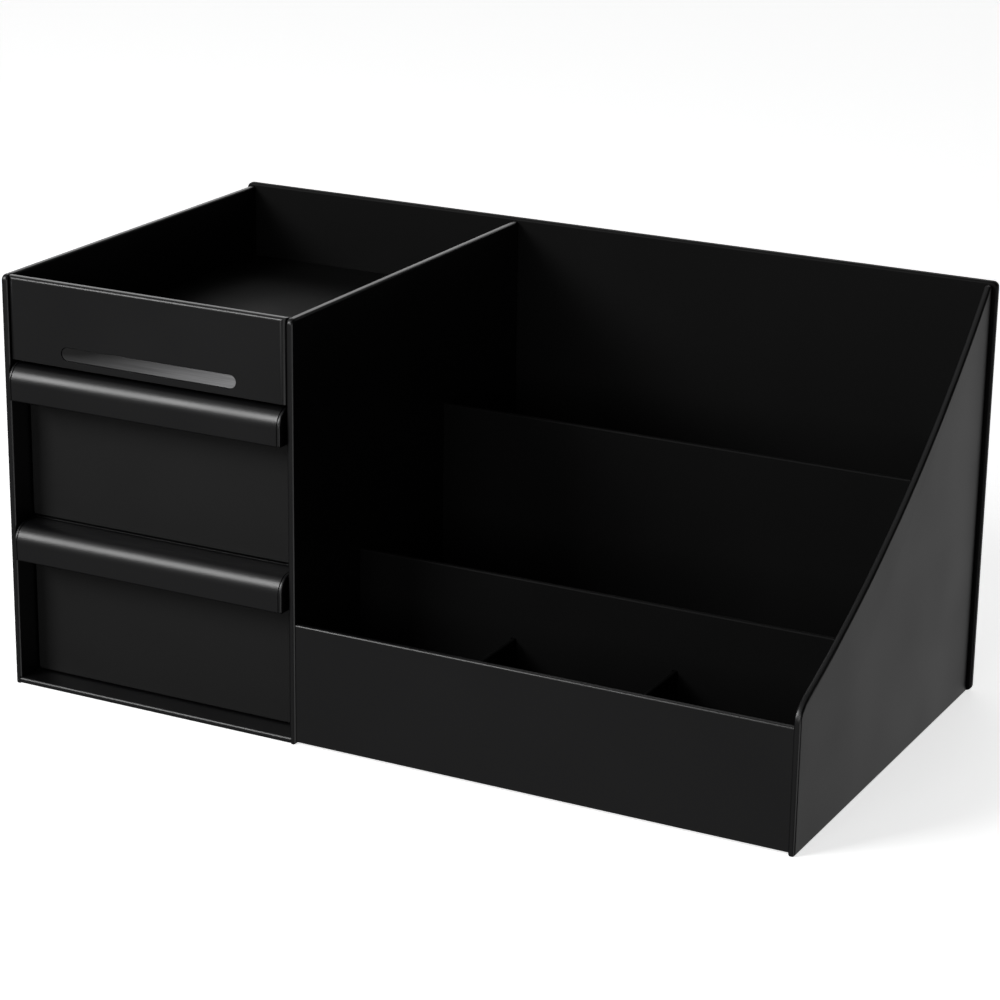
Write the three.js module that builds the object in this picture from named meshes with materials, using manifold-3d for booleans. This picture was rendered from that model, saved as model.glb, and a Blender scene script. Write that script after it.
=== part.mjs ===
// Bathroom organizer: a tower of two drawers under an open tray, beside a rack of three stepped rows.
// Millimetres, +X to the right, +Y to the back, +Z up.
// Places count from the tower's left face, the panels' front edge and the surface it stands on.

import * as THREE from 'three';
import { mergeVertices } from 'three/addons/utils/BufferGeometryUtils.js';
import Module from 'manifold-3d';

// Cabinet over its upright panels, without the handles in front and the rim of the back panel
const cabinetWidth = 320;
const cabinetDepth = 174.6;
const cabinetHeight = 160;

// Upright panels
const panelThickness = 2.6;
const panelEdgeRadius = 0.9;
const panelCornerRadius = 2.2;
const towerWidth = 124.2;

// How plates seat: each end lies in a groove, with a fine gap all round
const grooveDepth = 0.8;
const seatGap = 0.2;

// Back panel: a flat board that stands out a little past the sides and above them
const backThickness = 3.2;
const backOverhang = 1.6;
const backRise = 1.2;
const backCornerRadius = 2.2;
const backSeam = 0.3;

// Hollow slope of the right panel
const slopeFrontHeight = 48;
const slopeStartDepth = 7;
const slopeStartRise = 7.8;
const slopeSag = 10;
const slopeTopFlat = 2.2;

// Plates of the tower
const towerFloorThickness = 2.4;
const shelfThickness = 2;
const shelfFrontGap = 3;
const trayFloorThickness = 2.5;
const trayDepth = 31.6;
const floorNoseRadius = 1.1;
const shelfNoseRadius = 0.5;

// Fascia in front of the tray, with the tongue that holds it, its recess and its strip
const fasciaThickness = 3.8;
const fasciaRimRadius = 1.4;
const fasciaToeRadius = 0.4;
const fasciaEndRadius = 2.5;
const fasciaTongue = 1.2;
const recessWidth = 75;
const recessHeight = 5.3;
const recessDepth = 1.2;
const recessLift = 2.7;
const recessRightShift = 1.2;
const stripThickness = 0.7;

// Rack beside the tower
const rackLift = 1;
const rackFloorThickness = 2.4;
const frontWallThickness = 2.4;
const frontWallSetback = 0.7;
const frontWallDrop = 1.5;
const frontWallRimRadius = 0.9;
const dividerThickness = 1.9;
const dividerRimRadius = 0.7;
const frontDividerPlace = 48;
const frontDividerDrop = 12.2;
const rearDividerPlace = 112;
const rearDividerDrop = 11.1;
const partitionDrop = 8.5;

// Drawers
const drawerGap = 0.6;
const drawerTopGap = 1.4;
const drawerRunGap = 0.4;
const drawerSideGap = 0.5;
const drawerRearGap = 3;
const drawerSetback = 10.8;
const drawerFrontThickness = 2.4;
const drawerFrontCornerRadius = 1.2;
const drawerFrontEdgeRadius = 0.4;
const tubDrop = 9.8;
const tubWall = 1.8;
const tubCornerRadius = 4;
const tubEdgeRadius = 0.6;
const tubFloorFillet = 1.6;

// Handles: a hood rolled over the top of each drawer front, with a cap set off by a fine groove at each end
const handleProud = 3;
const handleDrop = 13.8;
const handleInset = 0.65;
const handleRollRadius = 7;
const handleThickness = 2.2;
const handleToeRadius = 1;
const handleEndRadius = 0.5;
const handleCapWidth = 1;
const capGrooveWidth = 0.4;
const capGrooveDepth = 0.4;

// Fineness of the round stretches, and how far a cut runs past what it cuts
const roundSteps = 5;
const bevelSteps = 3;
const slopeSteps = 24;
const overrun = 2;
const weldDistance = 0.001;

// Places worked out from the sizes above
const towerLeft = panelThickness;
const towerRight = towerWidth - panelThickness;
const rackLeft = towerWidth;
const rackRight = cabinetWidth - panelThickness;
const backFace = cabinetDepth - backThickness;
const sidePanelEnd = backFace - backSeam;
const plateEnd = backFace - seatGap;
const fasciaBottom = cabinetHeight - trayDepth;
const rackFloorTop = rackLift + rackFloorThickness;
const frontWallTop = slopeFrontHeight - frontWallDrop;
const frontWallBack = frontWallSetback + frontWallThickness;
const drawerWidth = towerRight - towerLeft - 2 * drawerSideGap;
const lowerDrawerBase = towerFloorThickness + drawerRunGap;
const drawerHeight = (fasciaBottom - drawerTopGap - drawerGap - lowerDrawerBase) / 2;
const tubHeight = drawerHeight - tubDrop;
const upperDrawerBase = lowerDrawerBase + drawerHeight + drawerGap;
const shelfTop = upperDrawerBase - drawerRunGap;
const seat = grooveDepth - seatGap;

// Materials: one black gloss moulding, a satin black for the inside and a grey strip
const glossBlack = { color: 0x0b0b0c, roughness: 0.22, metalness: 0 };
const satinBlack = { color: 0x101011, roughness: 0.45, metalness: 0 };
const greyStrip = { color: 0x6a6a6a, roughness: 0.4, metalness: 0 };

const wasm = await Module();
wasm.setup();

// Axes that turn a drawn outline: along X it is drawn in (Y, Z), along Y in (X, Z)
const xAxis = new THREE.Vector3(1, 0, 0);
const yAxis = new THREE.Vector3(0, 1, 0);
const zAxis = new THREE.Vector3(0, 0, 1);
const alongX = new THREE.Matrix4().makeBasis(yAxis, zAxis, xAxis);
const alongY = new THREE.Matrix4().makeBasis(xAxis, zAxis, yAxis.clone().negate());

// A closed geometry as a solid that can be joined and cut
function solidOf(geometry) {
  geometry.deleteAttribute('normal');
  geometry.deleteAttribute('uv');
  const welded = mergeVertices(geometry, weldDistance);
  return new wasm.Manifold(new wasm.Mesh({
    numProp: 3,
    vertProperties: welded.attributes.position.array,
    triVerts: new Uint32Array(welded.index.array),
  }));
}

// A solid as a geometry with flat faces
function geometryOf(solid) {
  const mesh = solid.getMesh();
  const indexed = new THREE.BufferGeometry();
  indexed.setAttribute('position', new THREE.BufferAttribute(mesh.vertProperties, 3));
  indexed.setIndex(new THREE.BufferAttribute(mesh.triVerts, 1));
  const geometry = indexed.toNonIndexed();
  geometry.computeVertexNormals();
  return geometry;
}

function namedMesh(name, solid, look) {
  const mesh = new THREE.Mesh(geometryOf(solid), new THREE.MeshStandardMaterial(look));
  mesh.name = name;
  return mesh;
}

// A block between two places on each axis
function block({ x, y, z }) {
  const size = [x, y, z].map(([low, high]) => high - low);
  const middle = [x, y, z].map(([low, high]) => (low + high) / 2);
  return solidOf(new THREE.BoxGeometry(...size).translate(...middle));
}

// The groove that a plate lies in: the plate's own block with a gap all round
function grooveFor(plate) {
  const widen = ([low, high]) => [low - seatGap, high + seatGap];
  return block({ x: widen(plate.x), y: widen(plate.y), z: widen(plate.z) });
}

// An outline from z = low to high, with rounded rims that keep the outline's own size
function prism(outline, [low, high], rimRadius = 0) {
  const geometry = new THREE.ExtrudeGeometry(outline, {
    depth: high - low - 2 * rimRadius,
    curveSegments: roundSteps,
    bevelEnabled: rimRadius > 0,
    bevelThickness: rimRadius,
    bevelSize: rimRadius,
    bevelOffset: -rimRadius,
    bevelSegments: bevelSteps,
  });
  return geometry.translate(0, 0, low + rimRadius);
}

function prismAlongX(outline, span, rimRadius) {
  return solidOf(prism(outline, span, rimRadius).applyMatrix4(alongX));
}

function prismAlongY(outline, [low, high], rimRadius) {
  return solidOf(prism(outline, [-high, -low], rimRadius).applyMatrix4(alongY));
}

function prismAlongZ(outline, span, rimRadius) {
  return solidOf(prism(outline, span, rimRadius));
}

// A rectangle whose corners are rounded one by one: low-left, low-right, top-right, top-left
function roundedOutline([left, right], [low, top], radii) {
  const corners = [
    [left, low, Math.PI],
    [right, low, Math.PI * 3 / 2],
    [right, top, 0],
    [left, top, Math.PI / 2],
  ];
  const outline = new THREE.Shape();
  corners.forEach(([x, y, start], corner) => {
    const radius = radii[corner];
    const inward = [x === left ? radius : -radius, y === low ? radius : -radius];
    if (radius === 0) {
      const draw = corner === 0 ? 'moveTo' : 'lineTo';
      outline[draw](x, y);
      return;
    }
    outline.absarc(x + inward[0], y + inward[1], radius, start, start + Math.PI / 2, false);
  });
  outline.closePath();
  return outline;
}

// The hollow arc of the right panel in (Y, Z), by its centre and its radius
const slope = slopeArc();

function slopeArc() {
  const start = new THREE.Vector2(slopeStartDepth, slopeFrontHeight + slopeStartRise);
  const end = new THREE.Vector2(sidePanelEnd - slopeTopFlat, cabinetHeight);
  const chord = end.clone().sub(start);
  const radius = chord.length() ** 2 / (8 * slopeSag) + slopeSag / 2;
  const upward = new THREE.Vector2(-chord.y, chord.x).normalize();
  const centre = start.clone().add(end).divideScalar(2).addScaledVector(upward, radius - slopeSag);
  return { start, end, centre, radius };
}

// How high the right panel's edge stands at a place behind its front
function slopeHeight(place) {
  return slope.centre.y - Math.sqrt(slope.radius ** 2 - (place - slope.centre.x) ** 2);
}

// A plate whose rims along X are rounded, drawn in its (Y, Z) section
function plateAlongX(plate, radii) {
  return prismAlongX(roundedOutline(plate.y, plate.z, radii), plate.x);
}

// Plates and walls by their blocks, each reaching into the grooves of its neighbours
const towerSpan = [towerLeft - seat, towerRight + seat];
const rackSpan = [rackLeft - seat, rackRight + seat];
const plates = {
  towerFloor: { x: towerSpan, y: [0, plateEnd], z: [0, towerFloorThickness] },
  midShelf: {
    x: towerSpan,
    y: [drawerSetback + drawerFrontThickness + shelfFrontGap, plateEnd],
    z: [shelfTop - shelfThickness, shelfTop],
  },
  fascia: {
    x: towerSpan,
    y: [fasciaThickness - fasciaTongue, fasciaThickness],
    z: [fasciaBottom, cabinetHeight],
  },
  trayFloor: {
    x: towerSpan,
    y: [fasciaThickness + seatGap, plateEnd],
    z: [fasciaBottom, fasciaBottom + trayFloorThickness],
  },
  rackFloor: { x: rackSpan, y: [frontWallBack + seatGap, plateEnd], z: [rackLift, rackFloorTop] },
  frontWall: { x: rackSpan, y: [frontWallSetback, frontWallBack], z: [rackLift, frontWallTop] },
  frontDivider: dividerBlock(frontDividerPlace, frontDividerDrop),
  rearDivider: dividerBlock(rearDividerPlace, rearDividerDrop),
};
const partitionNames = ['left_partition', 'right_partition'];
const cellPitch = (rackRight - rackLeft) / (partitionNames.length + 1);
const partitions = partitionNames.map((name, index) => partitionBlock(rackLeft + (index + 1) * cellPitch));

function dividerBlock(place, drop) {
  const half = dividerThickness / 2;
  const top = slopeHeight(place) - drop;
  return { x: rackSpan, y: [place - half, place + half], z: [rackFloorTop + seatGap, top] };
}

function partitionBlock(place) {
  const half = dividerThickness / 2;
  const dividerFront = frontDividerPlace - half;
  return {
    x: [place - half, place + half],
    y: [frontWallBack - seat, dividerFront + seat],
    z: [rackFloorTop + seatGap, frontWallTop - partitionDrop],
  };
}

function cutGrooves(solid, seated) {
  return seated.reduce((rest, plate) => rest.subtract(grooveFor(plate)), solid);
}

// Upright panels of the tower: plain, with a small round at the top front corner
function towerPanel([left, right], end, seated) {
  const outline = roundedOutline([0, end], [0, cabinetHeight], [0, 0, 0, panelCornerRadius]);
  return cutGrooves(prismAlongX(outline, [left, right], panelEdgeRadius), seated);
}

// The right panel's outline in (Y, Z): a short upright front, a round shoulder, then the hollow arc
function slopeOutline() {
  const { start, end, centre, radius } = slope;
  const angleOf = (point) => Math.atan2(point.y - centre.y, point.x - centre.x);
  const startRise = Math.tan(angleOf(start) + Math.PI / 2);
  const outline = new THREE.Shape();
  outline.moveTo(0, 0);
  outline.lineTo(sidePanelEnd, 0);
  outline.lineTo(sidePanelEnd, cabinetHeight);
  const arc = new THREE.EllipseCurve(
    centre.x, centre.y, radius, radius, angleOf(end), angleOf(start), true,
  );
  arc.getPoints(slopeSteps).forEach((point) => outline.lineTo(point.x, point.y));
  outline.quadraticCurveTo(0, start.y - start.x * startRise, 0, slopeFrontHeight);
  outline.closePath();
  return outline;
}

function rightPanel() {
  const raw = prismAlongX(slopeOutline(), [rackRight, cabinetWidth], panelEdgeRadius);
  const { rackFloor, frontWall, frontDivider, rearDivider } = plates;
  return cutGrooves(raw, [rackFloor, frontWall, frontDivider, rearDivider]);
}

// The back: a flat board, rounded at its four corners and all along its edges
function backPanel() {
  const across = [-backOverhang, cabinetWidth + backOverhang];
  const outline = roundedOutline(across, [0, cabinetHeight + backRise], Array(4).fill(backCornerRadius));
  return prismAlongY(outline, [backFace, cabinetDepth], panelEdgeRadius);
}

// The fascia: a board with a rolled rim and a long recess with round ends
const recessLeft = (towerLeft + towerRight - recessWidth) / 2 + recessRightShift;
const recessBottom = fasciaBottom + recessLift;

function stadium(inset) {
  const across = [recessLeft + inset, recessLeft + recessWidth - inset];
  const up = [recessBottom + inset, recessBottom + recessHeight - inset];
  const radius = recessHeight / 2 - inset;
  return roundedOutline(across, up, [radius, radius, radius, radius]);
}

function fascia() {
  const { x, z } = plates.fascia;
  const depth = [0, fasciaThickness];
  const sectionRadii = [fasciaToeRadius, 0, fasciaRimRadius, fasciaRimRadius];
  const section = prismAlongX(roundedOutline(depth, z, sectionRadii), x);
  const between = [towerLeft + seatGap, towerRight - seatGap];
  const plan = roundedOutline(between, depth, [fasciaEndRadius, fasciaEndRadius, 0, 0]);
  const board = section.intersect(prismAlongZ(plan, z).add(block(plates.fascia)));
  return board.subtract(prismAlongY(stadium(0), [-overrun, recessDepth]));
}

function fasciaStrip() {
  const back = recessDepth - seatGap;
  return prismAlongY(stadium(seatGap), [back - stripThickness, back]);
}

// Rack walls: plates with rounded top rims, and grooves where the partitions seat
function rackWall(plate, rimRadius, seated) {
  return cutGrooves(plateAlongX(plate, [0, 0, rimRadius, rimRadius]), seated);
}

function partition(plate) {
  const section = roundedOutline(plate.x, plate.z, [0, 0, dividerRimRadius, dividerRimRadius]);
  return prismAlongY(section, plate.y);
}

// One drawer in its own frame: from its left side, the face of its front and its underside
const tubFront = drawerFrontThickness + seatGap;
const tubEnd = backFace - drawerRearGap - drawerSetback;
const handleReach = drawerSetback + handleProud;
const handleBottom = drawerHeight - handleDrop;

function drawerTub() {
  const innerRadius = tubCornerRadius - tubWall;
  const outer = roundedOutline([0, drawerWidth], [tubFront, tubEnd], Array(4).fill(tubCornerRadius));
  const inner = roundedOutline(
    [tubWall, drawerWidth - tubWall],
    [tubFront + tubWall, tubEnd - tubWall],
    Array(4).fill(innerRadius),
  );
  const hollow = prismAlongZ(inner, [tubWall, tubHeight + overrun], tubFloorFillet);
  return prismAlongZ(outer, [0, tubHeight], tubEdgeRadius).subtract(hollow);
}

function drawerFront() {
  const radii = Array(4).fill(drawerFrontCornerRadius);
  const outline = roundedOutline([0, drawerWidth], [0, drawerHeight], radii);
  return prismAlongY(outline, [0, drawerFrontThickness], drawerFrontEdgeRadius);
}

// A handle's section in (Y, Z), drawn in by an inset at its front and its top
function hoodSection(inset, rear, bottom, toeRadius) {
  const radii = [toeRadius, 0, 0, handleRollRadius - inset];
  return roundedOutline([inset - handleReach, rear], [bottom, drawerHeight - inset], radii);
}

// What the groove beside a cap takes away, round the front and the top of the section
function capGroove(start) {
  const end = start + capGrooveWidth;
  const low = handleBottom - overrun;
  const around = block({
    x: [start, end],
    y: [-handleReach - overrun, 0],
    z: [low, drawerHeight + overrun],
  });
  const core = hoodSection(capGrooveDepth, overrun, low - overrun, 0);
  return around.subtract(prismAlongX(core, [start - overrun, end + overrun]));
}

function drawerHandle() {
  const [left, right] = [handleInset, drawerWidth - handleInset];
  const outer = hoodSection(0, -seatGap, handleBottom, handleToeRadius);
  const inner = hoodSection(handleThickness, overrun, handleBottom - overrun, 0);
  const rightGroove = right - handleCapWidth - capGrooveWidth;
  return prismAlongX(outer, [left, right], handleEndRadius)
    .subtract(prismAlongX(inner, [left + handleThickness, right - handleThickness]))
    .subtract(capGroove(left + handleCapWidth))
    .subtract(capGroove(rightGroove));
}

function drawer(side, base) {
  const group = new THREE.Group();
  group.add(
    namedMesh(side + '_drawer_tub', drawerTub(), satinBlack),
    namedMesh(side + '_drawer_front', drawerFront(), glossBlack),
    namedMesh(side + '_drawer_handle', drawerHandle(), glossBlack),
  );
  group.position.set(towerLeft + drawerSideGap, drawerSetback, base);
  return group;
}

function cabinet() {
  const { towerFloor, midShelf, trayFloor, rackFloor, frontWall, frontDivider, rearDivider } = plates;
  const towerPlates = [towerFloor, midShelf, trayFloor, plates.fascia];
  const rackPlates = [rackFloor, frontWall, frontDivider, rearDivider];
  const floorNose = [floorNoseRadius, 0, 0, floorNoseRadius];
  const shelfNose = [shelfNoseRadius, 0, 0, shelfNoseRadius];
  const group = new THREE.Group();
  group.add(
    namedMesh('left_side_panel', towerPanel([0, towerLeft], sidePanelEnd, towerPlates), glossBlack),
    namedMesh(
      'centre_panel',
      towerPanel([towerRight, rackLeft], plateEnd, [...towerPlates, ...rackPlates]),
      glossBlack,
    ),
    namedMesh('right_side_panel', rightPanel(), glossBlack),
    namedMesh('back_panel', backPanel(), glossBlack),
    namedMesh('tower_floor', plateAlongX(towerFloor, floorNose), satinBlack),
    namedMesh('mid_shelf', plateAlongX(midShelf, shelfNose), satinBlack),
    namedMesh('tray_floor', block(trayFloor), satinBlack),
    namedMesh('fascia', fascia(), glossBlack),
    namedMesh('fascia_strip', fasciaStrip(), greyStrip),
    namedMesh('rack_floor', block(rackFloor), satinBlack),
    namedMesh('rack_front_wall', rackWall(frontWall, frontWallRimRadius, partitions), glossBlack),
    namedMesh('front_divider', rackWall(frontDivider, dividerRimRadius, partitions), glossBlack),
    namedMesh('rear_divider', rackWall(rearDivider, dividerRimRadius, []), glossBlack),
    ...partitionNames.map((name, index) => namedMesh(name, partition(partitions[index]), glossBlack)),
  );
  return group;
}

// The frame's origin is under the middle of the whole organizer, handles included
const organizer = new THREE.Group();
organizer.add(cabinet(), drawer('upper', upperDrawerBase), drawer('lower', lowerDrawerBase));
organizer.position.set(-cabinetWidth / 2, (handleProud - cabinetDepth) / 2, 0);

export default organizer;
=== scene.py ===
"""Dresses a black bathroom organizer: a tower of two drawers under an open tray, beside a stepped rack."""

import math

import bpy
from bpy.props import FloatProperty, FloatVectorProperty, PointerProperty
from mathutils import Matrix, Vector


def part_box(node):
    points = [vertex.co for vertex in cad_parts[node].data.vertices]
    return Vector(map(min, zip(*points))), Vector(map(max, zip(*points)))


bl_info = {
    "name": "Bathroom Organizer Finish",
    "version": (1, 0, 0),
    "blender": (4, 5, 0),
    "location": "View3D > Sidebar > Organizer",
    "description": "Moulded plastics, lights and camera for an organizer with two drawers",
    "category": "Material",
}

MM = 0.001

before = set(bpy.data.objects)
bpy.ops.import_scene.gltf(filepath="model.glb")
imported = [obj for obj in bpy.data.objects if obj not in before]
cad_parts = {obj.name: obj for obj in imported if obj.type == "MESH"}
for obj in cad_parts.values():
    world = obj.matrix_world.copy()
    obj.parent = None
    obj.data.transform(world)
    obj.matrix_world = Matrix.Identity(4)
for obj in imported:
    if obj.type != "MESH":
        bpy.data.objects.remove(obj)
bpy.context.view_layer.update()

OUTER_PANELS = (
    "left_side_panel", "centre_panel", "right_side_panel", "fascia", "rack_front_wall", "tower_floor",
)
RACK_WALLS = ("front_divider", "rear_divider", "left_partition", "right_partition")
PLATES = ("mid_shelf", "tray_floor", "rack_floor")
DRAWERS = ("upper", "lower")

# Faces that turn less than this angle belong to one round, and corners closer than this are one
SMOOTH_ANGLE = math.radians(30)
WELD_DISTANCE = 0.002 * MM

# Soft clouds in colour and gloss, by their widths in millimetres
MELT_CLOUD = 60.0  # colour along a panel, where the melt flowed
GLOSS_CLOUD = 40.0  # gloss of a polished mould
GRAIN_CLOUD = 50.0  # colour of the shorter walls, the tubs and the plates
GRAIN_GLOSS_CLOUD = 30.0  # gloss of their grain
PAINT_CLOUD = 5.0  # gloss of the sprayed paint on the strip
RUBBED_PATCH = 14.0  # stretches of edge that hands rub more than others
RUBBED_EDGE = 0.3  # how far the rub reaches in from an edge

# Relief: the width and the depth of each mark in millimetres, and how much finer detail it has
PANEL_SINK = (26.0, 0.04, 0.0)  # shallow sinks of a long panel that cooled unevenly
WALL_SINK = (20.0, 0.03, 0.0)  # the same in the shorter walls, the tubs and the plates
POLISH_RIPPLE = (2.4, 0.0012, 0.0)  # ripple that the polishing stones left in the mould
# A pixel of the render is about 0.35 mm wide. The real pits are 0.1 mm and the real streaks 0.05 mm wide,
# too fine to show, so both are drawn coarser
SATIN_PIT = (0.9, 0.004, 1.0)
MATT_PIT = (1.1, 0.005, 1.0)
BRUSH_STREAK = (0.35, 0.006, 2.0)

# Casts of each body colour between which the clouds drift, and the cast of a rubbed edge
POLISHED_CASTS = (1.0, 1.25)
SATIN_CASTS = (1.0, 1.3)
MATT_CASTS = (0.8, 1.0)
RUBBED_CAST = 2.2

# How each skin mirrors: ABS starts at an index of 1.5, and the pits of a grained skin trap part of the light
ABS_IOR = 1.5
SATIN_SPECULAR = 0.38
MATT_SPECULAR = 0.1
BACK_SPECULAR = 0.12

# How far the roughness of each skin drifts to either side of its mean
POLISHED_DRIFT = 0.02
SATIN_DRIFT = 0.025
MATT_DRIFT = 0.03

# The back's narrow sides: how far a normal leans sideways where they begin and where they are reached,
# and how much smoother than the faces they are
SIDE_LEAN = (0.3, 0.7)
SIDE_POLISH = 0.22

# A painted reflection makes the strip pale late along its length and paler at its lower edge, and it has
# darker streaks
STRIP_REFLECTION_POWER = 1.4
STRIP_EDGE_REFLECTION = 0.12
STREAK_SHARE = 0.3
STREAK_SQUEEZE = (0.02, 1.0, 1.0)  # makes a streak fifty times as long as it is wide
STRIP_ROUGHNESS = (0.34, 0.42)

# Nearly all of a noise texture lies between these values
NOISE_LOW = 0.3
NOISE_HIGH = 0.7

# How far a rounded normal agrees with the face's own where an edge is rubbed most, and where it is untouched
RUBBED_AGREEMENT = 0.8
UNTOUCHED_AGREEMENT = 0.98
RUB_SHARES = (0.1, 0.5)

# The paper of the set, and how far it lies under the organizer's base
PAPER_ROUGHNESS = 0.9
PAPER_IOR = 1.45
PAPER_DROP = 0.1 * MM

# The dim room and its pale boards: the way to each one's middle, its brightness, and the cosine at its rim
ROOM_LEVEL = 0.03
ROOM_BOARDS = (
    ((-0.42, -0.76, -0.5), 0.212, 0.7),  # low in front, for the drawer fronts, the fascia and the front wall
    ((-0.44, -0.17, 0.88), 0.35, 0.8),  # overhead, for the backs of the rolled handles
    ((-0.44, 0.84, 0.32), 1.5, 0.8),  # behind, for the top rims
    ((0.2, 0.96, -0.15), 0.5, 0.85),  # behind at the right, for the right side panel
    ((0.84, -0.44, -0.32), 1.25, 0.82),  # at the front right, for the upright edges
)

# The camera's sensor in millimetres, and the nearest thing it sees in metres
SENSOR_WIDTH = 36.0
NEAR_CLIP = 0.05


def linear(hex_colour):
    """An sRGB hex colour as linear red, green and blue."""
    shares = [int(hex_colour[place:place + 2], 16) / 255 for place in (1, 3, 5)]
    return tuple(s / 12.92 if s <= 0.04045 else ((s + 0.055) / 1.055) ** 2.4 for s in shares)


class OrganizerFinish(bpy.types.PropertyGroup):
    polished_colour: FloatVectorProperty(
        name="Polished ABS", description="Colour of the outer panels, the fascia and the handles",
        subtype="COLOR", size=3, min=0, max=1, default=linear("#080809"),
    )
    grained_colour: FloatVectorProperty(
        name="Grained ABS", description="Colour of the drawers, the plates and the walls of the rack",
        subtype="COLOR", size=3, min=0, max=1, default=linear("#080808"),
    )
    # The strip's dark colour, and the pale grey of the painted reflection that it turns to at its right end
    strip_dark: FloatVectorProperty(
        name="Strip, dark end", description="Colour of the inset strip at its left end",
        subtype="COLOR", size=3, min=0, max=1, default=linear("#0a0a0a"),
    )
    strip_painted_reflection: FloatVectorProperty(
        name="Strip, pale end", description="Colour of the inset strip at its right end",
        subtype="COLOR", size=3, min=0, max=1, default=linear("#8e8e8f"),
    )
    polished_roughness: FloatProperty(
        name="Polished roughness", description="Mean roughness of the outer panels and the handles",
        subtype="FACTOR", default=0.36, min=0.05, max=1.0,
    )
    satin_roughness: FloatProperty(
        name="Satin roughness", description="Mean roughness of the drawer tubs and fronts",
        subtype="FACTOR", default=0.58, min=0.05, max=1.0,
    )
    matt_roughness: FloatProperty(
        name="Matt roughness", description="Mean roughness of the plates and the walls of the rack",
        subtype="FACTOR", default=0.59, min=0.05, max=1.0,
    )
    edge_radius: FloatProperty(
        name="Broken edge", description="Radius that the mould leaves on edges with no drawn rounding",
        unit="LENGTH", subtype="DISTANCE", default=0.15 * MM, min=0.0, max=1 * MM,
    )


class OrganizerStudio(bpy.types.PropertyGroup):
    paper_colour: FloatVectorProperty(
        name="Paper", description="Colour of the plain paper on the table and round it",
        subtype="COLOR", size=3, min=0, max=1, default=linear("#f2f2f2"),
    )
    floor_glow: FloatProperty(
        name="Floor glow", description="Light that the lit table under the organizer gives off",
        default=0.8, min=0.0,
    )
    backdrop_glow: FloatProperty(
        name="Backdrop glow", description="Light that the walls of paper round the table give off",
        default=0.85, min=0.0,
    )
    half_width: FloatProperty(
        name="Half width", description="Half the table's width, and the height of the walls round it",
        unit="LENGTH", subtype="DISTANCE", default=6.0, min=1.0,
    )
    handle_light_place: FloatVectorProperty(
        name="Handle light place", description="Where the softbox stands that the rolled handles mirror",
        subtype="XYZ", unit="LENGTH", size=3, default=(-0.84, -1.08, 0.92),
    )
    handle_light_size: FloatProperty(
        name="Handle light size", description="Side of the softbox that the rolled handles mirror",
        unit="LENGTH", subtype="DISTANCE", default=0.61, min=0.01,
    )
    handle_light_watts: FloatProperty(
        name="Handle light", description="Power of the softbox that the rolled handles mirror",
        unit="POWER", default=16.5, min=0.0,
    )
    front_light_place: FloatVectorProperty(
        name="Front light place", description="Where the broad softbox in front stands",
        subtype="XYZ", unit="LENGTH", size=3, default=(0.1, -2.0, 0.6),
    )
    front_light_size: FloatProperty(
        name="Front light size", description="Side of the broad softbox in front",
        unit="LENGTH", subtype="DISTANCE", default=1.0, min=0.01,
    )
    front_light_watts: FloatProperty(
        name="Front light", description="Power of the broad softbox in front",
        unit="POWER", default=9.0, min=0.0,
    )
    light_aim: FloatVectorProperty(
        name="Light aim", description="The point that both softboxes face",
        subtype="XYZ", unit="LENGTH", size=3, default=(0.0, 0.0, 0.1),
    )
    camera_place: FloatVectorProperty(
        name="Camera place", description="Where the camera stands",
        subtype="XYZ", unit="LENGTH", size=3, default=(0.5082, -0.9759, 0.4435),
    )
    camera_turn: FloatProperty(
        name="Camera turn", description="How far the camera looks to the left of straight back",
        unit="ROTATION", subtype="ANGLE", default=math.radians(27.41),
    )
    camera_tilt: FloatProperty(
        name="Camera tilt", description="How far the camera looks down",
        unit="ROTATION", subtype="ANGLE", default=math.radians(18.51),
    )
    camera_roll: FloatProperty(
        name="Camera roll", description="How far the camera leans about its line of sight",
        unit="ROTATION", subtype="ANGLE", default=math.radians(0.81),
    )
    focal_length: FloatProperty(
        name="Focal length", description="Focal length on a 36 mm sensor, in millimetres",
        subtype="DISTANCE_CAMERA", unit="CAMERA", default=111.59, min=1.0,
    )


def add_node(tree, kind, settings=None, inputs=None):
    """Adds one node, sets it up, and fills or links its inputs."""
    made = tree.nodes.new(kind)
    for name, value in (settings or {}).items():
        setattr(made, name, value)
    for name, value in (inputs or {}).items():
        if isinstance(value, bpy.types.NodeSocket):
            tree.links.new(value, made.inputs[name])
        else:
            made.inputs[name].default_value = value
    return made


def marks_per_metre(width):
    """The scale at which a noise texture's marks are about that many millimetres wide."""
    return 1 / (width * MM)


def cast_of(colour, share=1.0):
    """A colour made darker or paler by a share, in the form that a node takes."""
    return (*(part * share for part in colour), 1.0)


def clouds(tree, width, low, high, detail=1.0):
    """Soft clouds of that width in millimetres, fixed to the piece, that drift between two values."""
    place = add_node(tree, "ShaderNodeTexCoord")
    noise = add_node(tree, "ShaderNodeTexNoise", inputs={
        "Vector": place.outputs["Object"], "Scale": marks_per_metre(width), "Detail": detail,
    })
    drift = add_node(tree, "ShaderNodeMapRange", inputs={
        "Value": noise.outputs["Fac"],
        "From Min": NOISE_LOW, "From Max": NOISE_HIGH, "To Min": low, "To Max": high,
    })
    return drift.outputs["Result"]


def clouded_colour(tree, colour, width, casts):
    """The colour of an ABS body, drifting between a darker and a paler cast."""
    dark, pale = casts
    body = add_node(tree, "ShaderNodeMix", {"data_type": "RGBA"}, {
        "Factor": clouds(tree, width, 0.0, 1.0), "A": cast_of(colour, dark), "B": cast_of(colour, pale),
    })
    return body.outputs["Result"]


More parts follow.
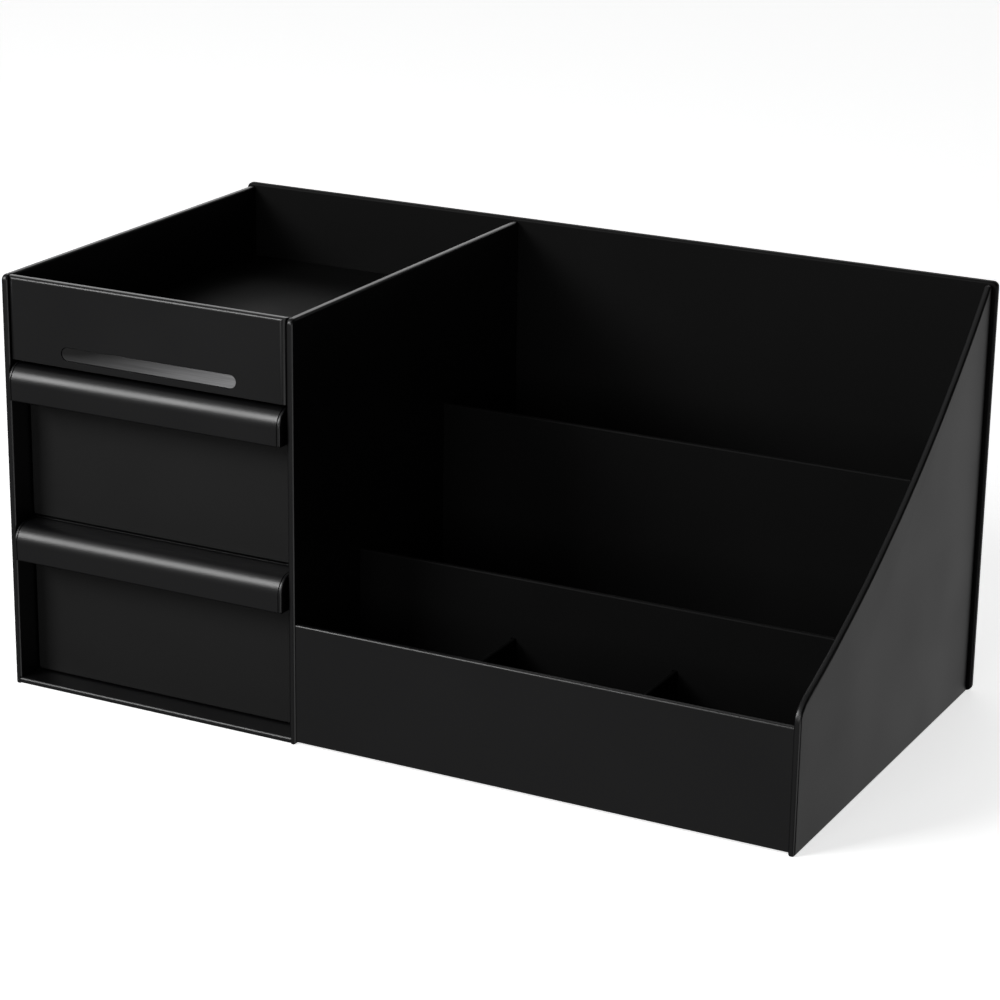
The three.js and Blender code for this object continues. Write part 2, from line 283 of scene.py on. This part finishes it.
def moulded_relief(tree, sink, mark):
    """The normal of a moulded face: broad shallow sinks, and the finer marks of the mould over them."""
    place = add_node(tree, "ShaderNodeTexCoord").outputs["Object"]
    relief = {}
    for width, depth, detail in (sink, mark):
        height = add_node(tree, "ShaderNodeTexNoise", inputs={
            "Vector": place, "Scale": marks_per_metre(width), "Detail": detail,
        })
        bump = add_node(tree, "ShaderNodeBump", inputs={
            "Height": height.outputs["Fac"], "Distance": depth * MM, "Strength": 1.0, **relief,
        })
        relief["Normal"] = bump.outputs["Normal"]
    return relief["Normal"]


def rubbed_edges(tree):
    """A share on the edges that hands and cloths have rubbed, in patches, and 0 on open faces."""
    rounded = add_node(tree, "ShaderNodeBevel", {"samples": 4}, {"Radius": RUBBED_EDGE * MM})
    face = add_node(tree, "ShaderNodeNewGeometry")
    agreement = add_node(tree, "ShaderNodeVectorMath", {"operation": "DOT_PRODUCT"}, {
        0: rounded.outputs["Normal"], 1: face.outputs["Normal"],
    })
    edge = add_node(tree, "ShaderNodeMapRange", inputs={
        "Value": agreement.outputs["Value"],
        "From Min": RUBBED_AGREEMENT, "From Max": UNTOUCHED_AGREEMENT, "To Min": 1.0, "To Max": 0.0,
    })
    rubbed = add_node(tree, "ShaderNodeMath", {"operation": "MULTIPLY"}, {
        0: edge.outputs["Result"], 1: clouds(tree, RUBBED_PATCH, *RUB_SHARES),
    })
    return rubbed.outputs["Value"]


def new_material(name):
    material = bpy.data.materials.new(name)
    material.use_nodes = True
    material.node_tree.nodes.clear()
    return material, material.node_tree


def end_in_surface(tree, inputs):
    """Ends a material in one principled surface."""
    surface = add_node(tree, "ShaderNodeBsdfPrincipled", inputs=inputs)
    add_node(tree, "ShaderNodeOutputMaterial", inputs={"Surface": surface.outputs["BSDF"]})


def polished_abs(finish):
    """ABS moulded in a polished tool: a black body under a smooth skin that shows soft reflections."""
    material, tree = new_material("moulded_abs_polished_black")
    mean = finish.polished_roughness
    colour = add_node(tree, "ShaderNodeMix", {"data_type": "RGBA"}, {
        "Factor": rubbed_edges(tree),
        "A": clouded_colour(tree, finish.polished_colour, MELT_CLOUD, POLISHED_CASTS),
        "B": cast_of(finish.polished_colour, RUBBED_CAST),
    })
    end_in_surface(tree, {
        "Base Color": colour.outputs["Result"],
        "Roughness": clouds(tree, GLOSS_CLOUD, mean - POLISHED_DRIFT, mean + POLISHED_DRIFT),
        "IOR": ABS_IOR,
        "Normal": moulded_relief(tree, PANEL_SINK, POLISH_RIPPLE),
    })
    return material


def satin_abs(finish):
    """ABS moulded in a finely eroded tool: an even grain that scatters light to a satin black."""
    material, tree = new_material("moulded_abs_satin_black")
    mean = finish.satin_roughness
    end_in_surface(tree, {
        "Base Color": clouded_colour(tree, finish.grained_colour, GRAIN_CLOUD, SATIN_CASTS),
        "Roughness": clouds(tree, GRAIN_GLOSS_CLOUD, mean - SATIN_DRIFT, mean + SATIN_DRIFT),
        "IOR": ABS_IOR,
        "Specular IOR Level": SATIN_SPECULAR,
        "Normal": moulded_relief(tree, WALL_SINK, SATIN_PIT),
    })
    return material


def matt_skin(tree, finish):
    """What coarsely eroded ABS looks like, as the inputs of its surface."""
    mean = finish.matt_roughness
    return {
        "Base Color": clouded_colour(tree, finish.grained_colour, GRAIN_CLOUD, MATT_CASTS),
        "Roughness": clouds(tree, GRAIN_GLOSS_CLOUD, mean - MATT_DRIFT, mean + MATT_DRIFT),
        "IOR": ABS_IOR,
        "Specular IOR Level": MATT_SPECULAR,
        "Normal": moulded_relief(tree, WALL_SINK, MATT_PIT),
    }


def matt_abs(finish):
    """ABS moulded in a coarsely eroded tool: the pits swallow light, so the faces stay a deep even black."""
    material, tree = new_material("moulded_abs_matt_black")
    end_in_surface(tree, matt_skin(tree, finish))
    return material


def side_polished_abs(finish):
    """Matt ABS whose mould was polished at both sides: deep black faces, narrow sides with a soft gloss."""
    material, tree = new_material("moulded_abs_matt_black_polished_sides")
    skin = matt_skin(tree, finish)
    facing = add_node(tree, "ShaderNodeSeparateXYZ", inputs={
        "Vector": add_node(tree, "ShaderNodeTexCoord").outputs["Normal"],
    })
    sideways = add_node(tree, "ShaderNodeMath", {"operation": "ABSOLUTE"}, {0: facing.outputs["X"]})
    smoother = add_node(tree, "ShaderNodeMapRange", inputs={
        "Value": sideways.outputs["Value"],
        "From Min": SIDE_LEAN[0], "From Max": SIDE_LEAN[1], "To Min": 0.0, "To Max": -SIDE_POLISH,
    })
    roughness = add_node(tree, "ShaderNodeMath", {"operation": "ADD"}, {
        0: skin["Roughness"], 1: smoother.outputs["Result"],
    })
    skin["Roughness"] = roughness.outputs["Value"]
    skin["Specular IOR Level"] = BACK_SPECULAR
    end_in_surface(tree, skin)
    return material


def painted_reflection_on_strip(tree, place):
    """How strong the painted reflection on the strip is: it rises to the right and towards the lower edge.
    """
    low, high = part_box("fascia_strip")
    axes = add_node(tree, "ShaderNodeSeparateXYZ", inputs={"Vector": place})
    along = add_node(tree, "ShaderNodeMapRange", inputs={
        "Value": axes.outputs["X"], "From Min": low.x, "From Max": high.x,
    })
    late = add_node(tree, "ShaderNodeMath", {"operation": "POWER"}, {
        0: along.outputs["Result"], 1: STRIP_REFLECTION_POWER,
    })
    # painted reflection, stronger along the lower edge
    lower = add_node(tree, "ShaderNodeMapRange", inputs={
        "Value": axes.outputs["Z"], "From Min": low.z, "From Max": high.z,
        "To Min": STRIP_EDGE_REFLECTION, "To Max": -STRIP_EDGE_REFLECTION,
    })
    reflection_share = add_node(tree, "ShaderNodeMath", {"operation": "ADD"}, {
        0: late.outputs["Value"], 1: lower.outputs["Result"],
    })
    return reflection_share.outputs["Value"]


def brushed_strip(finish):
    """Painted ABS brushed along its length: satin grey, with a painted reflection that makes it paler to the
    right and along its lower edge.
    """
    material, tree = new_material("brushed_painted_abs_grey")
    dark = cast_of(finish.strip_dark)
    place = add_node(tree, "ShaderNodeTexCoord").outputs["Object"]
    # the pale towards the right end and the lower edge is a painted reflection over the dark strip
    with_painted_reflection = add_node(tree, "ShaderNodeMix", {"data_type": "RGBA"}, {
        "Factor": painted_reflection_on_strip(tree, place), "A": dark, "B": cast_of(finish.strip_painted_reflection),
    })
    width, depth, detail = BRUSH_STREAK
    squeezed = add_node(tree, "ShaderNodeMapping", inputs={"Vector": place, "Scale": STREAK_SQUEEZE})
    streaks = add_node(tree, "ShaderNodeTexNoise", inputs={
        "Vector": squeezed.outputs["Vector"], "Scale": marks_per_metre(width), "Detail": detail,
    })
    streak_shares = add_node(tree, "ShaderNodeMapRange", inputs={
        "Value": streaks.outputs["Fac"],
        "From Min": NOISE_LOW, "From Max": NOISE_HIGH, "To Min": 0.0, "To Max": STREAK_SHARE,
    })
    colour = add_node(tree, "ShaderNodeMix", {"data_type": "RGBA"}, {
        "Factor": streak_shares.outputs["Result"], "A": with_painted_reflection.outputs["Result"], "B": dark,
    })
    scored = add_node(tree, "ShaderNodeBump", inputs={
        "Height": streaks.outputs["Fac"], "Distance": depth * MM, "Strength": 1.0,
    })
    end_in_surface(tree, {
        "Base Color": colour.outputs["Result"],
        "Roughness": clouds(tree, PAINT_CLOUD, *STRIP_ROUGHNESS, detail=2.0),
        "IOR": ABS_IOR,
        "Normal": scored.outputs["Normal"],
    })
    return material


def joined_faces():
    """The node group that welds split corners and smooths the edges inside a round."""
    tree = bpy.data.node_groups.new("joined_faces", "GeometryNodeTree")
    tree.interface.new_socket("Geometry", in_out="INPUT", socket_type="NodeSocketGeometry")
    tree.interface.new_socket("Geometry", in_out="OUTPUT", socket_type="NodeSocketGeometry")
    start = add_node(tree, "NodeGroupInput")
    plain = add_node(tree, "GeometryNodeRemoveAttribute", inputs={
        "Geometry": start.outputs["Geometry"], "Name": "custom_normal",
    })
    welded = add_node(tree, "GeometryNodeMergeByDistance", inputs={
        "Geometry": plain.outputs["Geometry"], "Distance": WELD_DISTANCE,
    })
    angle = add_node(tree, "GeometryNodeInputMeshEdgeAngle")
    smooth = add_node(tree, "FunctionNodeCompare", {"operation": "LESS_THAN"}, {
        0: angle.outputs["Unsigned Angle"], 1: SMOOTH_ANGLE,
    })
    faces = add_node(tree, "GeometryNodeSetShadeSmooth", {"domain": "FACE"}, {
        "Geometry": welded.outputs["Geometry"], "Shade Smooth": True,
    })
    edges = add_node(tree, "GeometryNodeSetShadeSmooth", {"domain": "EDGE"}, {
        "Geometry": faces.outputs["Geometry"], "Shade Smooth": smooth.outputs["Result"],
    })
    add_node(tree, "NodeGroupOutput", inputs={"Geometry": edges.outputs["Geometry"]})
    return tree


def smooth_moulding(node, edge_radius):
    """Joins the faces of a CAD node, breaks its sharp edges and shades its rounds as one surface."""
    joined = node.modifiers.new("joined_faces", "NODES")
    joined.node_group = bpy.data.node_groups.get("joined_faces") or joined_faces()
    broken = node.modifiers.new("broken_edges", "BEVEL")
    broken.width = edge_radius
    broken.segments = 2
    broken.limit_method = "ANGLE"
    broken.angle_limit = SMOOTH_ANGLE
    broken.harden_normals = True
    broken.use_clamp_overlap = True
    level = node.modifiers.new("level_flats", "WEIGHTED_NORMAL")
    level.mode = "FACE_AREA"
    level.weight = 100
    level.keep_sharp = True


def dress(names, material, edge_radius):
    """Gives CAD nodes a finish and smooth rounds."""
    for name in names:
        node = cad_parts[name]
        node.data.materials.clear()
        node.data.materials.append(material)
        smooth_moulding(node, edge_radius)


def shared_material(name, maker, finish):
    """The material of that name, made when the first piece asks for it."""
    return bpy.data.materials.get(name) or maker(finish)


class ORGANIZER_OT_panels(bpy.types.Operator):
    """Finishes the outer panels, the fascia, the rack's front wall and the tower's floor in polished ABS"""
    bl_idname = "organizer.panels"
    bl_label = "Finish the panels"

    def execute(self, context):
        finish = context.scene.organizer_finish
        material = shared_material("moulded_abs_polished_black", polished_abs, finish)
        dress(OUTER_PANELS, material, finish.edge_radius)
        return {"FINISHED"}


class ORGANIZER_OT_rack(bpy.types.Operator):
    """Finishes the back, the dividers and the partitions in matt ABS, the back with polished sides"""
    bl_idname = "organizer.rack"
    bl_label = "Finish the rack"

    def execute(self, context):
        finish = context.scene.organizer_finish
        dress(("back_panel",), side_polished_abs(finish), finish.edge_radius)
        dress(RACK_WALLS, shared_material("moulded_abs_matt_black", matt_abs, finish), finish.edge_radius)
        return {"FINISHED"}


class ORGANIZER_OT_plates(bpy.types.Operator):
    """Finishes the shelf, the tray's floor and the rack's floor in matt ABS"""
    bl_idname = "organizer.plates"
    bl_label = "Finish the plates"

    def execute(self, context):
        finish = context.scene.organizer_finish
        dress(PLATES, shared_material("moulded_abs_matt_black", matt_abs, finish), finish.edge_radius)
        return {"FINISHED"}


class ORGANIZER_OT_strip(bpy.types.Operator):
    """Finishes the strip in the fascia's recess"""
    bl_idname = "organizer.strip"
    bl_label = "Finish the strip"

    def execute(self, context):
        finish = context.scene.organizer_finish
        dress(("fascia_strip",), brushed_strip(finish), finish.edge_radius)
        return {"FINISHED"}


class ORGANIZER_OT_drawers(bpy.types.Operator):
    """Finishes both drawers: satin tubs and fronts, polished handles"""
    bl_idname = "organizer.drawers"
    bl_label = "Finish the drawers"

    def execute(self, context):
        finish = context.scene.organizer_finish
        satin = shared_material("moulded_abs_satin_black", satin_abs, finish)
        polished = shared_material("moulded_abs_polished_black", polished_abs, finish)
        for side in DRAWERS:
            dress((side + "_drawer_tub", side + "_drawer_front"), satin, finish.edge_radius)
            dress((side + "_drawer_handle",), polished, finish.edge_radius)
        return {"FINISHED"}


def lit_paper(name, colour, glow):
    """Plain pale paper, lit from behind, so that it stays even to the edge of the picture."""
    material, tree = new_material(name)
    end_in_surface(tree, {
        "Base Color": cast_of(colour),
        "Roughness": PAPER_ROUGHNESS,
        "IOR": PAPER_IOR,
        "Emission Color": cast_of(colour),
        "Emission Strength": glow,
    })
    return material


def paper_sheet(name, corners, faces, material):
    """A piece of the set that the black plastics neither mirror nor take light from."""
    mesh = bpy.data.meshes.new(name)
    mesh.from_pydata(corners, [], faces)
    mesh.materials.append(material)
    sheet = bpy.data.objects.new(name, mesh)
    bpy.context.scene.collection.objects.link(sheet)
    sheet.location.z = -PAPER_DROP
    sheet.visible_glossy = False
    sheet.visible_diffuse = False
    return sheet


def studio_set(studio):
    """A wide plain lit table, and walls of the same paper round it that cast no shadow."""
    half = studio.half_width
    low = [(-half, -half, 0), (half, -half, 0), (half, half, 0), (-half, half, 0)]
    high = [(x, y, half) for x, y, _ in low]
    table_paper = lit_paper("studio_floor_paper", studio.paper_colour, studio.floor_glow)
    paper_sheet("studio_floor", low, [(0, 1, 2, 3)], table_paper)
    walls = [(side, (side + 1) % 4, (side + 1) % 4 + 4, side + 4) for side in range(4)]
    wall_paper = lit_paper("studio_backdrop_paper", studio.paper_colour, studio.backdrop_glow)
    backdrop = paper_sheet("studio_backdrop", low + high, walls, wall_paper)
    backdrop.visible_shadow = False


def studio_room():
    """A dim room whose soft pale boards are what the plastics mirror."""
    world = bpy.data.worlds.new("studio_room")
    world.use_nodes = True
    bpy.context.scene.world = world
    tree = world.node_tree
    tree.nodes.clear()
    ray = add_node(tree, "ShaderNodeTexCoord").outputs["Generated"]
    level = ROOM_LEVEL
    for towards, brightness, rim in ROOM_BOARDS:
        facing = add_node(tree, "ShaderNodeVectorMath", {"operation": "DOT_PRODUCT"}, {
            0: ray, 1: Vector(towards).normalized(),
        })
        board = add_node(tree, "ShaderNodeMapRange", {"interpolation_type": "SMOOTHSTEP"}, {
            "Value": facing.outputs["Value"], "From Min": rim, "From Max": 1.0, "To Max": brightness,
        })
        added = add_node(tree, "ShaderNodeMath", {"operation": "ADD"}, {
            0: level, 1: board.outputs["Result"],
        })
        level = added.outputs["Value"]
    room = add_node(tree, "ShaderNodeBackground", inputs={"Color": (1, 1, 1, 1), "Strength": level})
    add_node(tree, "ShaderNodeOutputWorld", inputs={"Surface": room.outputs["Background"]})


def softbox(name, place, aim, size, watts):
    """A square softbox that faces a point."""
    light = bpy.data.lights.new(name, "AREA")
    light.size = size
    light.energy = watts
    lamp = bpy.data.objects.new(name, light)
    lamp.location = place
    lamp.rotation_euler = (Vector(aim) - Vector(place)).to_track_quat("-Z", "Y").to_euler()
    bpy.context.scene.collection.objects.link(lamp)


def studio_camera(studio):
    """The camera, from the photograph's angle and without any lens shift."""
    lens = bpy.data.cameras.new("studio_camera")
    lens.lens = studio.focal_length
    lens.sensor_width = SENSOR_WIDTH
    lens.clip_start = NEAR_CLIP
    camera = bpy.data.objects.new("studio_camera", lens)
    turn = Matrix.Rotation(studio.camera_turn, 4, "Z")
    tilt = Matrix.Rotation(math.pi / 2 - studio.camera_tilt, 4, "X")
    roll = Matrix.Rotation(studio.camera_roll, 4, "Z")
    camera.matrix_world = Matrix.Translation(studio.camera_place) @ turn @ tilt @ roll
    bpy.context.scene.collection.objects.link(camera)
    bpy.context.scene.camera = camera


class ORGANIZER_OT_studio(bpy.types.Operator):
    """Sets up the table and its backdrop, the room, both softboxes and the camera"""
    bl_idname = "organizer.studio"
    bl_label = "Set up the studio"

    def execute(self, context):
        studio = context.scene.organizer_studio
        context.scene.view_settings.view_transform = "Standard"
        studio_set(studio)
        studio_room()
        softbox("handle_light", studio.handle_light_place, studio.light_aim,
                studio.handle_light_size, studio.handle_light_watts)
        softbox("front_light", studio.front_light_place, studio.light_aim,
                studio.front_light_size, studio.front_light_watts)
        studio_camera(studio)
        return {"FINISHED"}


OPERATORS = (
    ORGANIZER_OT_panels,
    ORGANIZER_OT_rack,
    ORGANIZER_OT_plates,
    ORGANIZER_OT_strip,
    ORGANIZER_OT_drawers,
    ORGANIZER_OT_studio,
)


class ORGANIZER_PT_sidebar(bpy.types.Panel):
    """The sidebar's buttons, one for each operator, and the values they use"""
    bl_label = "Bathroom organizer"
    bl_idname = "ORGANIZER_PT_sidebar"
    bl_space_type = "VIEW_3D"
    bl_region_type = "UI"
    bl_category = "Organizer"

    def draw(self, context):
        for operator in OPERATORS:
            self.layout.operator(operator.bl_idname)
        for group in (context.scene.organizer_finish, context.scene.organizer_studio):
            for name in group.__annotations__:
                self.layout.prop(group, name)


CLASSES = (OrganizerFinish, OrganizerStudio, *OPERATORS, ORGANIZER_PT_sidebar)


def register():
    for part in CLASSES:
        bpy.utils.register_class(part)
    bpy.types.Scene.organizer_finish = PointerProperty(type=OrganizerFinish)
    bpy.types.Scene.organizer_studio = PointerProperty(type=OrganizerStudio)


def unregister():
    del bpy.types.Scene.organizer_studio
    del bpy.types.Scene.organizer_finish
    for part in reversed(CLASSES):
        bpy.utils.unregister_class(part)


def main():
    register()
    bpy.ops.organizer.panels()
    bpy.ops.organizer.rack()
    bpy.ops.organizer.plates()
    bpy.ops.organizer.strip()
    bpy.ops.organizer.drawers()
    bpy.ops.organizer.studio()


if __name__ == "__main__":
    main()
